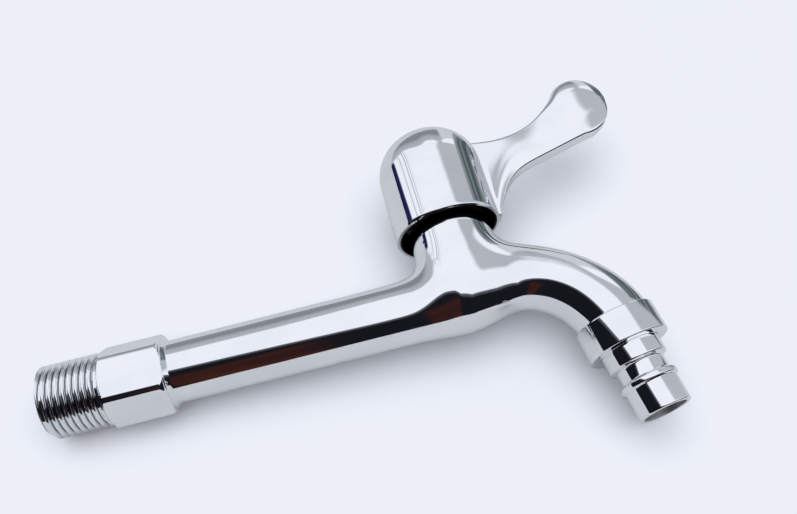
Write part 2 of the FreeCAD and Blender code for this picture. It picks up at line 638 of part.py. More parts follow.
def nozzle_outline():
    """Radius and distance below the spout's end, round the nozzle's wall."""
    shoulder = "collar_start + collar_height + shoulder_height"
    groove = shoulder + " + shoulder_taper"
    latch = groove + " + groove_height"
    tip = latch + " + latch_height"
    end = tip + " + tip_height"
    return [
        ("nozzle_bore", FLANGE_Z),
        ("nozzle_flange", FLANGE_Z),
        ("nozzle_flange", FLANGE_Z + " + nozzle_flange_height"),
        ("shoulder_radius", FLANGE_Z + " + nozzle_flange_height"),
        ("shoulder_radius", shoulder),
        ("groove_radius", groove),
        ("groove_radius", latch),
        ("latch_radius", latch + " + edge_break"),
        ("latch_radius", tip + " - edge_break"),
        ("tip_radius", tip),
        ("tip_radius", end + " - edge_break"),
        ("tip_radius - edge_break", end),
        ("nozzle_bore", end),
    ]


def build():
    """Every separate piece, by the name of its node."""
    pieces = {}
    pieces["tap_body"] = tap_body()
    pieces["bonnet"] = bonnet()
    pieces["bonnet_washer"] = tube_of(
        "bonnet_washer", "tower_radius - 2 * face_gap", "thread_radius + 2 * thread_fit", "washer_thickness",
        "tower_top + face_gap")
    pieces["seat_seal"] = tube_of("seat_seal", CAGE_BORE + " - shaft_fit", "seat_bore", "seal_height", SEAL_Z)
    pieces["ceramic_disc_fixed"] = disc("ceramic_disc_fixed", FIXED_Z, "90", False)
    pieces["ceramic_disc_moving"] = disc("ceramic_disc_moving", MOVING_Z, "0", True)
    pieces["spindle"] = spindle()
    pieces["friction_washer"] = tube_of(
        "friction_washer", CAGE_BORE + " - shaft_fit", SHAFT_BORE, "friction_thickness", FRICTION_Z)
    pieces["spindle_o_ring_lower"] = o_ring("spindle_o_ring_lower", "ring_low")
    pieces["spindle_o_ring_upper"] = o_ring("spindle_o_ring_upper", "ring_high")
    pieces["circlip"] = circlip()
    pieces["handle"] = handle()
    pieces["handle_grub_screw"] = grub_screw()
    pieces["collar_nut"] = at_outlet(turned("collar_nut", [
        ("thread_radius + thread_fit", "collar_start"),
        ("collar_radius", "collar_start"),
        ("collar_radius", "collar_start + collar_height"),
        ("shoulder_radius + 2 * shaft_fit", "collar_start + collar_height"),
        ("shoulder_radius + 2 * shaft_fit", LIP_Z),
        ("thread_radius + thread_fit", LIP_Z),
    ]))
    pieces["nozzle_gasket"] = at_outlet(turned("nozzle_gasket", [
        ("spout_bore", GASKET_Z),
        ("nozzle_flange", GASKET_Z),
        ("nozzle_flange", GASKET_Z + " + gasket_thickness"),
        ("spout_bore", GASKET_Z + " + gasket_thickness"),
    ]))
    pieces["nozzle"] = at_outlet(turned("nozzle", nozzle_outline()))
    return pieces


pieces = build()
doc.recompute()
faults = [item.Name for item in doc.Objects if "Invalid" in item.State or "Error" in item.State]
for name, item in pieces.items():
    item.Label = name
    if item.Shape.isNull() or not item.Shape.isValid():
        faults.append(name)
    print("%-24s %2d solid(s) %9.1f mm3" % (name, len(item.Shape.Solids), item.Shape.Volume))
if faults:
    raise RuntimeError("these did not build: " + ", ".join(faults))
os.makedirs("parts", exist_ok=True)
for name, item in pieces.items():
    item.Shape.exportStep("parts/%s.step" % name)
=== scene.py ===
import bpy
import json
import math
import numpy as np
from mathutils import Matrix, Vector


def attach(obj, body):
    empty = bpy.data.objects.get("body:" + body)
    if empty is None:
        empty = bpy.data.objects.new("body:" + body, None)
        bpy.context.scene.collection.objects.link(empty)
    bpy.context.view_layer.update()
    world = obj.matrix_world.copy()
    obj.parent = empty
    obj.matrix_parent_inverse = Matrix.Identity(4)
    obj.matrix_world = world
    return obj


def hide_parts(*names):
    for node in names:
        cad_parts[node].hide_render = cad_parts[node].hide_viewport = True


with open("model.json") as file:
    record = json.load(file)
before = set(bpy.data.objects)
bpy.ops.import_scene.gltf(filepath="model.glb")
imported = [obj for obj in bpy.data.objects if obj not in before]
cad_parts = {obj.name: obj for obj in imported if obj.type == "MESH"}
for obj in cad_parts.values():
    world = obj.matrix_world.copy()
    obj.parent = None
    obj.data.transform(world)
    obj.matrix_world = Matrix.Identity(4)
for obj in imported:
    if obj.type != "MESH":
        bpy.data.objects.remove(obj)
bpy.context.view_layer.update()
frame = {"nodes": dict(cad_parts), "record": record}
scene = bpy.context.scene
mm = 0.001


# an output socket: its operators add Math nodes, node() makes any other node
class Socket:
    def __init__(self, tree, output=None):
        self.tree, self.output = tree, output

    def node(self, kind, settings=(), values=(), output=0):
        made = self.tree.nodes.new(kind)
        for name, value in dict(settings).items():
            if name == "stops":
                setStops(made.color_ramp, value)
            else:
                setattr(made, name, value)
        for name, value in dict(values).items():
            if isinstance(value, Socket):
                self.tree.links.new(value.output, made.inputs[name])
            else:
                made.inputs[name].default_value = value
        return Socket(self.tree, made.outputs[output]) if made.outputs else None

    def other(self, name):  # another output of the same node
        return Socket(self.tree, self.output.node.outputs[name])

    def maths(self, operation, *values):
        return self.node("ShaderNodeMath", {"operation": operation}, enumerate(values))

    def __add__(self, other):
        return self.maths("ADD", self, other)

    def __sub__(self, other):
        return self.maths("SUBTRACT", self, other)

    def __rsub__(self, other):
        return self.maths("SUBTRACT", other, self)

    def __mul__(self, other):
        return self.maths("MULTIPLY", self, other)

    def __truediv__(self, other):
        return self.maths("DIVIDE", self, other)

    def __rtruediv__(self, other):
        return self.maths("DIVIDE", other, self)

    def __neg__(self):
        return self.maths("MULTIPLY", self, -1.0)

    __radd__, __rmul__ = __add__, __mul__

    def step(self, low, high):  # 0 below low, 1 above high, smooth between
        values = {"Value": self, "From Min": low, "From Max": high}
        return self.node("ShaderNodeMapRange", {"interpolation_type": "SMOOTHSTEP"}, values)

    def blend(self, first, second):  # two colours mixed by this value
        return self.node("ShaderNodeMix", {"data_type": "RGBA"}, {0: self, 6: first, 7: second}, 2)


def setStops(ramp, stops):
    while len(ramp.elements) > 1:
        ramp.elements.remove(ramp.elements[-1])
    for index, (place, height) in enumerate(stops):
        element = ramp.elements[0] if index == 0 else ramp.elements.new(place)
        element.position = place
        element.color = (height, height, height, 1)


# what every piece is placed from: millimetres from the inlet's face, the valve tower at x = towerX
tap = {
    "towerX": 123.0,
    "boreRadius": 6.5,
    "tubeRadius": 9.05,
    "tubeEndRadius": 9.35,
    "seamX": 80.5,  # where the inlet's piece meets the casting's
    "seamLap": 0.5,
    "spoutRise": 3.4,
    "bendRadius": 30.6,
    "bendStart": 8.5,
    "bendAngle": 70.0,
    "outletTilt": 8.2,
    "outletStraight": 8.0,  # how far the waterway runs on past the bend
}


# where the bend ends, from the foot of the tower, and which way the outlet points
def outletFoot():
    late, tilt = math.radians(tap["bendAngle"]), math.radians(tap["outletTilt"])
    x = tap["bendStart"] + tap["bendRadius"] * math.sin(late)
    z = tap["spoutRise"] - tap["bendRadius"] * (1 - math.cos(late))
    return x, z, math.sin(tilt), -math.cos(tilt)


# the finishes, their sizes and depths in millimetres
looks = {
    "chrome": {  # bright plate over a hand-polished casting, so its mirror is a little wavy
        "color": (0.86, 0.88, 0.91), "colorTwo": (0.93, 0.94, 0.955), "metallic": 1.0,
        "roughness": 0.018, "patchRough": 0.022, "grainRough": 0.014, "coat": 0.0,
        "patchSize": 9.0, "grainSize": 0.7, "grainDepth": 0.0003,
        "waveSize": 13.0, "waveDepth": 0.05, "stretch": (0.5, 1.0, 1.0)},
    "brass": {  # turned, with fine rings left by the tool
        "color": (0.66, 0.46, 0.2), "colorTwo": (0.8, 0.6, 0.3), "metallic": 1.0,
        "roughness": 0.22, "patchRough": 0.12, "grainRough": 0.1, "coat": 0.0,
        "patchSize": 4.0, "grainSize": 0.9, "grainDepth": 0.006,
        "waveSize": 9.0, "waveDepth": 0.01, "stretch": (0.2, 0.2, 3.0)},
    "rubber": {
        "color": (0.016, 0.016, 0.017), "colorTwo": (0.034, 0.034, 0.036), "metallic": 0.0,
        "roughness": 0.5, "patchRough": 0.15, "grainRough": 0.12, "coat": 0.0,
        "patchSize": 3.0, "grainSize": 0.25, "grainDepth": 0.01,
        "waveSize": 6.0, "waveDepth": 0.02, "stretch": (1.0, 1.0, 1.0)},
    "ceramic": {
        "color": (0.84, 0.82, 0.77), "colorTwo": (0.9, 0.885, 0.85), "metallic": 0.0,
        "roughness": 0.16, "patchRough": 0.08, "grainRough": 0.08, "coat": 0.3,
        "patchSize": 2.0, "grainSize": 0.2, "grainDepth": 0.001,
        "waveSize": 5.0, "waveDepth": 0.002, "stretch": (1.0, 1.0, 1.0)},
    "plastic": {
        "color": (0.8, 0.8, 0.79), "colorTwo": (0.87, 0.87, 0.86), "metallic": 0.0,
        "roughness": 0.38, "patchRough": 0.1, "grainRough": 0.1, "coat": 0.0,
        "patchSize": 2.5, "grainSize": 0.3, "grainDepth": 0.003,
        "waveSize": 6.0, "waveDepth": 0.01, "stretch": (1.0, 1.0, 1.0)},
    "springSteel": {
        "color": (0.3, 0.31, 0.33), "colorTwo": (0.42, 0.43, 0.45), "metallic": 1.0,
        "roughness": 0.28, "patchRough": 0.12, "grainRough": 0.12, "coat": 0.0,
        "patchSize": 2.0, "grainSize": 0.3, "grainDepth": 0.004,
        "waveSize": 5.0, "waveDepth": 0.005, "stretch": (1.0, 1.0, 4.0)},
}
# chrome painted dark and made rough within the cap, as painted shade: its radius, where its dome springs
# from, how flat that is
looks["cappedChrome"] = {
    **looks["chrome"], "hollow": (15.3, 43.5, 1.1), "shadeColor": (0.012, 0.012, 0.014), "insideRough": 0.45}
# chrome painted gray and made rough within the nozzle's bore, as painted shade
looks["boredChrome"] = {**looks["chrome"], "bore": 6.3, "shadeColor": (0.5, 0.51, 0.53), "insideRough": 0.45}
# chrome with painted shade in the thread's valleys, between these radii
looks["threadChrome"] = {
    **looks["chrome"], "valley": (9.5, 10.1), "valleyColor": (0.48, 0.49, 0.5), "valleyShare": 0.85}
slotLooks = {
    "chrome": "chrome", "brass": "brass", "black_rubber": "rubber", "ceramic": "ceramic",
    "white_plastic": "plastic", "spring_steel": "springSteel"}
patchShare = 0.75  # how much of a finish's colour follows its broad patches, the rest its grain
shadeEdge = 0.1  # how soon the painted shade inside turns to chrome, in millimetres
coatRough = 0.1


def makeFinish(name, look):
    finish = bpy.data.materials.new(name)
    finish.use_nodes = True
    tree = finish.node_tree
    shader = tree.nodes["Principled BSDF"]
    start = Socket(tree)
    place = start.node("ShaderNodeTexCoord").other("Object")
    stretched = start.node("ShaderNodeMapping", values={"Vector": place, "Scale": look["stretch"]})
    # each noise is spread to fill 0 to 1
    patch = start.node("ShaderNodeTexNoise", values={
        "Vector": stretched, "Scale": 1 / (look["patchSize"] * mm), "Detail": 2.0}).step(0.3, 0.7)
    grain = start.node("ShaderNodeTexNoise", values={
        "Vector": stretched, "Scale": 1 / (look["grainSize"] * mm), "Detail": 2.0,
        "Roughness": 0.6}).step(0.25, 0.75)
    wave = start.node("ShaderNodeTexNoise", values={
        "Vector": place, "Scale": 1 / (look["waveSize"] * mm), "Detail": 1.0})
    mixed = patchShare * patch + (1 - patchShare) * grain
    mixed = mixed.blend((*look["color"], 1), (*look["colorTwo"], 1))
    rough = look["roughness"] + patch * look["patchRough"] + grain * look["grainRough"]
    spot = start.node("ShaderNodeSeparateXYZ", values={0: place})
    x, y, z = spot.other("X") - tap["towerX"] * mm, spot.other("Y"), spot.other("Z")
    paintedShade = None
    # painted shade: the chrome inside the cap's wall and dome is painted dark
    if "hollow" in look:
        radius, spring, flatness = look["hollow"]
        rise = start.maths("MAXIMUM", z - spring * mm, 0.0) * flatness
        reach = start.maths("SQRT", x * x + y * y + rise * rise)
        paintedShade = 1 - reach.step((radius - shadeEdge) * mm, radius * mm)
    # painted shade: the chrome inside the nozzle's bore is painted gray
    if "bore" in look:
        footX, footZ, wayX, wayZ = outletFoot()
        across = (x - footX * mm) * wayZ - (z - footZ * mm) * wayX
        reach = start.maths("SQRT", across * across + y * y)
        paintedShade = 1 - reach.step((look["bore"] - shadeEdge) * mm, look["bore"] * mm)
    # where the painted shade lies, the colour turns to the inside's colour and the roughness goes up
    if paintedShade:
        mixed = paintedShade.blend(mixed, (*look["shadeColor"], 1))
        rough = rough + paintedShade * look["insideRough"]
    # painted shade: the thread's valleys are painted darker
    if "valley" in look:
        low, high = look["valley"]
        valleyShade = 1 - start.maths("SQRT", y * y + z * z).step(low * mm, high * mm)
        mixed = (valleyShade * look["valleyShare"]).blend(mixed, (*look["valleyColor"], 1))
    broad = start.node("ShaderNodeBump", values={
        "Strength": 1.0, "Distance": look["waveDepth"] * mm, "Height": wave})
    relief = start.node("ShaderNodeBump", values={
        "Strength": 1.0, "Distance": look["grainDepth"] * mm, "Height": grain, "Normal": broad})
    for slot, wire in (("Base Color", mixed), ("Roughness", rough), ("Normal", relief)):
        tree.links.new(wire.output, shader.inputs[slot])
    shader.inputs["Metallic"].default_value = look["metallic"]
    shader.inputs["Coat Weight"].default_value = look["coat"]
    shader.inputs["Coat Roughness"].default_value = coatRough
    return finish


finishes = {name: makeFinish(name, look) for name, look in looks.items()}
nodeSlots = {row["node"]: row["material_slot"] for row in frame["record"]["subparts"]}
for node, solid in frame["nodes"].items():
    solid.data.materials.clear()
    solid.data.materials.append(finishes[slotLooks[nodeSlots[node]]])
print("finishes:", ", ".join(sorted(finishes)))


def smooth(low, high, value):
    share = np.clip((value - low) / (high - low), 0.0, 1.0)
    return share * share * (3 - 2 * share)


# a chrome piece that stands for a node, its points in millimetres
def makePiece(name, verts, faces, body, node, sharpAngle, look="chrome"):
    mesh = bpy.data.meshes.new(name)
    mesh.from_pydata((np.asarray(verts) * mm).tolist(), [], [tuple(face) for face in faces])
    mesh.update()
    mesh.materials.append(finishes[look])
    return placePiece(name, mesh, body, node, sharpAngle)


def placePiece(name, mesh, body, node, sharpAngle):
    mesh.polygons.foreach_set("use_smooth", [True] * len(mesh.polygons))
    if sharpAngle:
        mesh.set_sharp_from_angle(angle=math.radians(sharpAngle))
    piece = bpy.data.objects.new(name, mesh)
    scene.collection.objects.link(piece)
    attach(piece, body)
    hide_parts(node)
    return piece


# a skin over rings of equal length, each joined to the next, and the last to the first where it closes
def ringSkin(rings, closed=True):
    count, total = len(rings[0]), len(rings)
    faces = []
    for row in range(total if closed else total - 1):
        near, far = row * count, (row + 1) % total * count
        for step in range(count):
            follow = (step + 1) % count
            faces.append((near + step, near + follow, far + follow, far + step))
    return np.concatenate(rings), faces


# rings about the Z axis from an outline of radius and height
def lathe(outline, centreX=0.0, count=192):
    turns = np.linspace(0, 2 * math.pi, count, endpoint=False)
    return [np.stack([centreX + r * np.cos(turns), r * np.sin(turns), np.full(turns.shape, z)], 1)
            for r, z in outline]


# an outline whose corners are rounded: each is radius, height and rounding
def rounded(corners, steps=5):
    points = []
    for index, (r, z, size) in enumerate(corners):
        here = Vector((r, z))
        before = Vector(corners[index - 1][:2]) - here
        after = Vector(corners[(index + 1) % len(corners)][:2]) - here
        size = min(size, before.length * 0.49, after.length * 0.49)
        if size < 1e-4:
            points.append((r, z))
            continue
        a, b = here + before.normalized() * size, here + after.normalized() * size
        for s in np.linspace(0, 1, steps + 1):
            points.append(tuple(a * (1 - s) ** 2 + here * 2 * s * (1 - s) + b * s ** 2))
    return points


# the cast chamber, tower and spout
casting = {
    "towerRadius": 11.9,
    "towerTop": 24.0,
    "spoutRadius": 9.5,
    "spoutEndRadius": 10.4,
    "spoutEnd": 5.4,  # below the end of the bend
    "cutFrom": 20.0,  # the outlet's end cuts only what is past this, from the tower's axis
    "taperLength": 85.0,  # over which the tube widens up to the tower
    "spoutGrowth": 12.0,  # the same for the spout, past the tower and before its end
    "outletGrowth": 24.0,
    "bellyHeight": 4.0,
    "bellySwell": 0.35,
    "swellPlace": -8.0,
    "swellSpread": 6.0,
    "blendTop": 3.4,  # how softly tube and spout flow into the tower: above, beside and under them
    "blendLeft": 2.7,
    "blendRight": 1.9,
    "blendUnderRight": 3.4,
    "blendUnderLeft": 1.9,
    "upperFade": (-6, 14),  # heights and places between which one softness turns into the next
    "underFade": (0, 9),
    "sideFade": (-8, 8),
    "seatHeight": 4.2,
    "chamberBore": 9.35,
    "threadBore": 10.52,
    "threadFloor": 14.0,
    "waterway": 6.6,
    "waterwayStart": 10.0,
    "cell": 0.7,
}


# how far points are from the waterway's centre line, how far along it from the tower's axis, and its end
def waterPath(points):
    x, y, z = points[:, 0] - tap["towerX"], points[:, 1], points[:, 2]
    radius, centreX, centreZ = tap["bendRadius"], tap["bendStart"], tap["spoutRise"] - tap["bendRadius"]
    early = -math.acos(1 - tap["spoutRise"] / radius)  # where the bend rises off the tube's axis
    late = math.radians(tap["bendAngle"])
    startX = centreX + radius * math.sin(early)
    along = np.minimum(x, startX)
    best = np.sqrt((x - along) ** 2 + y ** 2 + z ** 2)
    turn = np.clip(np.arctan2(x - centreX, z - centreZ), early, late)
    length = startX + radius * (late - early)
    endX, endZ, wayX, wayZ = outletFoot()
    ahead = np.clip((x - endX) * wayX + (z - endZ) * wayZ, 0, tap["outletStraight"])
    bent = startX + radius * (turn - early)
    for pathX, pathZ, place in (
            (centreX + radius * np.sin(turn), centreZ + radius * np.cos(turn), bent),
            (endX + wayX * ahead, endZ + wayZ * ahead, length + ahead)):
        gap = np.sqrt((x - pathX) ** 2 + y ** 2 + (z - pathZ) ** 2)
        along = np.where(gap < best, place, along)
        best = np.minimum(best, gap)
    return best, along, length


# two distances joined by a soft crease, without a jump in curvature for the chrome to show
def softUnion(a, b, size):
    return np.minimum(a, b) - size * np.log1p(np.exp(-np.abs(a - b) / size))


# how far each point lies outside the casting
def castingField(points):
    p = casting
    gap, along, length = waterPath(points)
    endX, endZ, wayX, wayZ = outletFoot()
    x, y, z = points[:, 0] - tap["towerX"], points[:, 1], points[:, 2]
    taper = (tap["tubeEndRadius"] - tap["tubeRadius"]) / p["taperLength"]
    size = tap["tubeEndRadius"] + taper * np.minimum(along, 0)
    size = size + (p["spoutRadius"] - tap["tubeEndRadius"]) * smooth(0, p["spoutGrowth"], along)
    widening = smooth(length - p["outletGrowth"], length, along)
    size = size + (p["spoutEndRadius"] - p["spoutRadius"]) * widening
    size = size + p["bellySwell"] * np.exp(-((along - p["swellPlace"]) / p["swellSpread"]) ** 2)
    canal = gap - size
    across = np.hypot(x, y)
    chamber = np.hypot(across, np.minimum(z - p["bellyHeight"], 0)) - p["towerRadius"]
    upper, under, side = smooth(*p["upperFade"], z), smooth(*p["underFade"], -z), smooth(*p["sideFade"], x)
    left, right = (
        p["blend" + hand] + (p["blendTop"] - p["blend" + hand]) * upper
        + (p["blendUnder" + hand] - p["blend" + hand]) * under for hand in ("Left", "Right"))
    field = softUnion(canal, chamber, left + (right - left) * side)
    drop = (x - endX) * wayX + (z - endZ) * wayZ
    field = np.maximum(field, z - p["towerTop"])
    field = np.maximum(field, np.where(x > p["cutFrom"], drop - p["spoutEnd"], -np.inf))
    field = np.maximum(field, tap["seamX"] - tap["seamLap"] - tap["towerX"] - x)
    hollow = across - np.where(z > p["threadFloor"], p["threadBore"], p["chamberBore"])
    hollow = np.maximum(hollow, p["seatHeight"] - z)
    hollow = np.minimum(hollow, np.maximum(gap - p["waterway"], p["waterwayStart"] - along))
    return np.maximum(field, -hollow)


def gradient(field, points, step=0.02):
    slope = np.zeros(points.shape)
    for axis in range(3):
        shift = np.zeros(3)
        shift[axis] = step
        slope[:, axis] = (field(points + shift) - field(points - shift)) / (2 * step)
    return slope


# surface nets: one vertex in each cell that the surface crosses, then moved onto the surface
def netSkin(field, low, high, cell):
    counts = [int(math.ceil((h - l) / cell)) + 1 for l, h in zip(low, high)]
    axes = [l + cell * np.arange(n) for l, n in zip(low, counts)]
    grid = np.stack(np.meshgrid(*axes, indexing="ij"), -1).reshape(-1, 3)
    batch = 200000  # points worked out at once
    values = [field(grid[first:first + batch]) for first in range(0, len(grid), batch)]
    values = np.concatenate(values).reshape(counts)
    inside = values < 0
    total = np.zeros([n - 1 for n in counts] + [3])
    hits = np.zeros(total.shape[:3])
    for axis in range(3):
        others = [a for a in range(3) if a != axis]
        for da, db in ((0, 0), (0, 1), (1, 0), (1, 1)):
            start = [slice(0, -1)] * 3
            start[others[0]] = slice(da, counts[others[0]] - 1 + da)
            start[others[1]] = slice(db, counts[others[1]] - 1 + db)
            end = list(start)
            end[axis] = slice(1, None)
            a, b = values[tuple(start)], values[tuple(end)]
            cross = (a < 0) != (b < 0)
            spot = np.zeros(total.shape)
            spot[..., axis] = np.where(cross, a / np.where(cross, a - b, 1), 0)
            spot[..., others[0]] = da
            spot[..., others[1]] = db
            total += spot * cross[..., None]
            hits += cross
    live = hits > 0
    number = -np.ones(live.shape, int)
    number[live] = np.arange(live.sum())
    verts = np.array(low) + cell * (np.argwhere(live) + total[live] / hits[live][:, None])
    faces = []
    for axis in range(3):
        b, c = (axis + 1) % 3, (axis + 2) % 3
        start, end = [slice(None)] * 3, [slice(None)] * 3
        start[axis], end[axis] = slice(0, -1), slice(1, None)
        first = inside[tuple(start)]
        changed = np.argwhere(first != inside[tuple(end)])
        keep = np.all([(changed[:, a] > 0) & (changed[:, a] < counts[a] - 1) for a in (b, c)], axis=0)
        changed = changed[keep]
        corners = []
        for db, dc in ((-1, -1), (0, -1), (0, 0), (-1, 0)):
            spot = changed.copy()
            spot[:, b] += db
            spot[:, c] += dc
            corners.append(number[tuple(spot.T)])
        quads = np.stack(corners, 1)
        flip = ~first[tuple(changed.T)]
        quads[flip] = quads[flip][:, ::-1]
        faces.append(quads)
    for _ in range(4):  # each pass brings the vertices closer, by no more than a cell
        slope = gradient(field, verts)
        steep = np.maximum((slope ** 2).sum(1), 0.2)
        verts = verts - (np.clip(field(verts), -cell, cell) / steep)[:, None] * slope
    return verts, np.concatenate(faces)


def makeCasting():
    low = (tap["seamX"] - 1.5, -13.0, -25.0)  # a box round the casting
    high = (tap["towerX"] + 50.0, 13.0, 25.0)
    verts, faces = netSkin(castingField, low, high, casting["cell"])
    slope = gradient(castingField, verts, 0.05)
    slope /= np.maximum(np.linalg.norm(slope, axis=1), 1e-6)[:, None]
    piece = makePiece("tapBodyCasting", verts, faces, "fixed_parts", "tap_body", None)
    piece.data.normals_split_custom_set_from_vertices(slope.tolist())
    return len(faces)


print("casting:", makeCasting(), "faces")


# the inlet end: the thread's core, the wrench hexagon and the long tube
inlet = {
    "coreRadius": 9.4,
    "threadEnd": 16.1,
    "reliefRadius": 9.3,
    "hexStart": 17.3,
    "hexEnd": 35.0,
    "hexFlats": 21.0,
    "hexTurn": 7.4,
    "cornerRounding": 2.6,
    "frontBevel": 0.9,
    "frontSunk": 0.25,
    "frontRise": 1.4,
    "backBevel": 2.6,
    "backRise": 1.6,
    "neckRadius": 10.3,
    "neckEnd": 36.2,
    "neckPower": 1.1,  # over 1 hollows the neck
    "taperStart": 37.2,
    "mouthBevel": 0.7,
    "boreBevel": 0.5,
    "proud": 0.015,  # the tube stands this much over the casting's, from proudFrom on
    "proudFrom": 60.0,
}


def hexagonRadius(sector):
    flat, bend = inlet["hexFlats"] / 2, inlet["cornerRounding"]
    middle = (flat - bend) / math.cos(math.pi / 6)  # the centre of a corner's rounding
    edge = math.atan((flat - bend) * math.tan(math.pi / 6) / flat)
    off = math.pi / 6 - np.abs(sector)
    corner = middle * np.cos(off) + np.sqrt(np.maximum(bend ** 2 - (middle * np.sin(off)) ** 2, 0))
    return np.where(np.abs(sector) < edge, flat / np.cos(sector), corner)


def inletRadius(x, turns):
    p = inlet
    if x < p["threadEnd"]:
        return p["coreRadius"] - max(0.0, p["mouthBevel"] - x)
    if x < p["hexStart"]:
        return p["reliefRadius"]
    if x <= p["hexEnd"]:
        sector = (turns - math.radians(p["hexTurn"]) + math.pi / 6) % (math.pi / 3) - math.pi / 6
        front = p["hexFlats"] / 2 - p["frontSunk"] + (x - p["hexStart"]) / p["frontBevel"] * p["frontRise"]
        share = min((p["hexEnd"] - x) / p["backBevel"], 1.0)
        back = p["neckRadius"] + p["backRise"] * math.sqrt(1 - (1 - share) ** 2)
        return np.minimum(hexagonRadius(sector), min(front, back))
    share = min((x - p["hexEnd"]) / (p["neckEnd"] - p["hexEnd"]), 1.0)
    taper = (tap["tubeEndRadius"] - tap["tubeRadius"]) / (tap["towerX"] - p["taperStart"])
    tube = tap["tubeRadius"] + taper * (x - p["taperStart"]) + (p["proud"] if x > p["proudFrom"] else 0.0)
    return tube + (p["neckRadius"] - tap["tubeRadius"]) * (1 - share) ** p["neckPower"]


def makeInlet():
    p = inlet
    turns = np.linspace(0, 2 * math.pi, 480, endpoint=False)
    end, step = tap["seamX"] + tap["seamLap"], 0.01  # the step keeps each edge of the outline sharp
    places = np.concatenate([
        [0.0, 0.2, 0.4, p["mouthBevel"], 4.0, 8.0, 12.0],
        [p["threadEnd"] - step, p["threadEnd"] + step, p["hexStart"] - step],
        p["hexStart"] + np.array([0.0, 0.1, 0.2, 0.35, 0.5, 0.7, 0.9, 1.2, 1.6]),
        np.linspace(p["hexStart"] + 3, p["hexEnd"] - p["backBevel"], 7),
        p["hexEnd"] - p["backBevel"] * (1 - np.sin(np.linspace(0.1, math.pi / 2, 16))),
        p["hexEnd"] + (p["neckEnd"] - p["hexEnd"]) * np.linspace(0.02, 1, 14),
        np.linspace(p["neckEnd"] + 3, end, 12)])
    outside = [(x, inletRadius(x, turns)) for x in places]
    inside = [(x, tap["boreRadius"]) for x in (end, 60.0, 20.0, p["boreBevel"])]
    rings = []
    for x, radius in outside + inside + [(0.0, tap["boreRadius"] + p["boreBevel"])]:
        rings.append(np.stack([np.full(turns.shape, x), radius * np.cos(turns), radius * np.sin(turns)], 1))
    verts, faces = ringSkin(rings)
    makePiece("tapBodyInlet", verts, [face[::-1] for face in faces], "fixed_parts", "tap_body", 24)
    return len(faces)


print("inlet:", makeInlet(), "faces")


# the inlet's thread: a trapezoid swept along a right-handed spiral and run out at both ends
thread = {
    "Crest radius": 10.47,
    "Core radius": 9.4,
    "Pitch": 1.814,
    "Start": 0.35,
    "Length": 16.9,
    "Crest width": 0.6,
    "Root width": 1.78,
    "Edge rounding": 0.12,
    "Sunk": 0.15,
}
runOutPart = 27.0  # at both ends it grows to full height over one part in this many of its length


def makeThread():
    tree = bpy.data.node_groups.new("threadTree", "GeometryNodeTree")
    names = {
        name: tree.interface.new_socket(name, in_out="INPUT", socket_type="NodeSocketFloat").identifier
        for name in thread}
    tree.interface.new_socket("Thread", in_out="OUTPUT", socket_type="NodeSocketGeometry")
    start = Socket(tree)
    given = start.node("NodeGroupInput")
    size = {name: given.other(name) for name in thread}
    foot = size["Core radius"] - size["Sunk"]
    spiral = start.node("GeometryNodeCurveSpiral", values={
        "Resolution": 96, "Rotations": size["Length"] / size["Pitch"], "Height": size["Length"],
        "Start Radius": foot, "End Radius": foot})
    share = start.node("GeometryNodeSplineParameter")
    ends = start.maths("MINIMUM", share * runOutPart, (1 - share) * runOutPart)
    runOut = start.maths("MINIMUM", ends, 1.0)
    upright = start.node("GeometryNodeSetCurveNormal", {"mode": "Z_UP"}, {"Curve": spiral})
    height = size["Crest radius"] - foot
    tooth = start.node("GeometryNodeCurvePrimitiveQuadrilateral", {"mode": "TRAPEZOID"}, {
        "Bottom Width": size["Root width"], "Top Width": size["Crest width"], "Height": height,
        "Offset": 0.0})
    eased = start.node("GeometryNodeFilletCurve", {"mode": "POLY"}, {
        "Curve": tooth, "Count": 2, "Radius": size["Edge rounding"]})
    outward = start.node("ShaderNodeCombineXYZ", values={"X": height * -0.5})
    turned = start.node("GeometryNodeTransform", values={
        "Geometry": eased, "Translation": outward, "Rotation": (0, 0, math.pi / 2)})
    swept = start.node("GeometryNodeCurveToMesh", values={
        "Curve": upright, "Profile Curve": turned, "Scale": runOut, "Fill Caps": True})
    along = start.node("ShaderNodeCombineXYZ", values={"X": size["Start"]})
    lying = start.node("GeometryNodeTransform", values={
        "Geometry": swept, "Translation": along, "Rotation": (0, math.pi / 2, 0)})
    real = start.node("GeometryNodeRealizeInstances", values={"Geometry": lying})
    coated = start.node("GeometryNodeSetMaterial", values={
        "Geometry": real, "Material": finishes["threadChrome"]})
    start.node("NodeGroupOutput", values={"Thread": coated})

    maker = bpy.data.objects.new("threadMaker", bpy.data.meshes.new("threadMaker"))
    scene.collection.objects.link(maker)
    modifier = maker.modifiers.new("thread", "NODES")
    modifier.node_group = tree
    for name, identifier in names.items():
        modifier[identifier] = thread[name] * mm
    grown = maker.evaluated_get(bpy.context.evaluated_depsgraph_get())
    mesh = bpy.data.meshes.new_from_object(grown)
    maker.modifiers.remove(modifier)
    bpy.data.objects.remove(maker)
    placePiece("inletThread", mesh, "fixed_parts", "tap_body", 40)
    return len(mesh.polygons)


print("thread:", makeThread(), "faces")


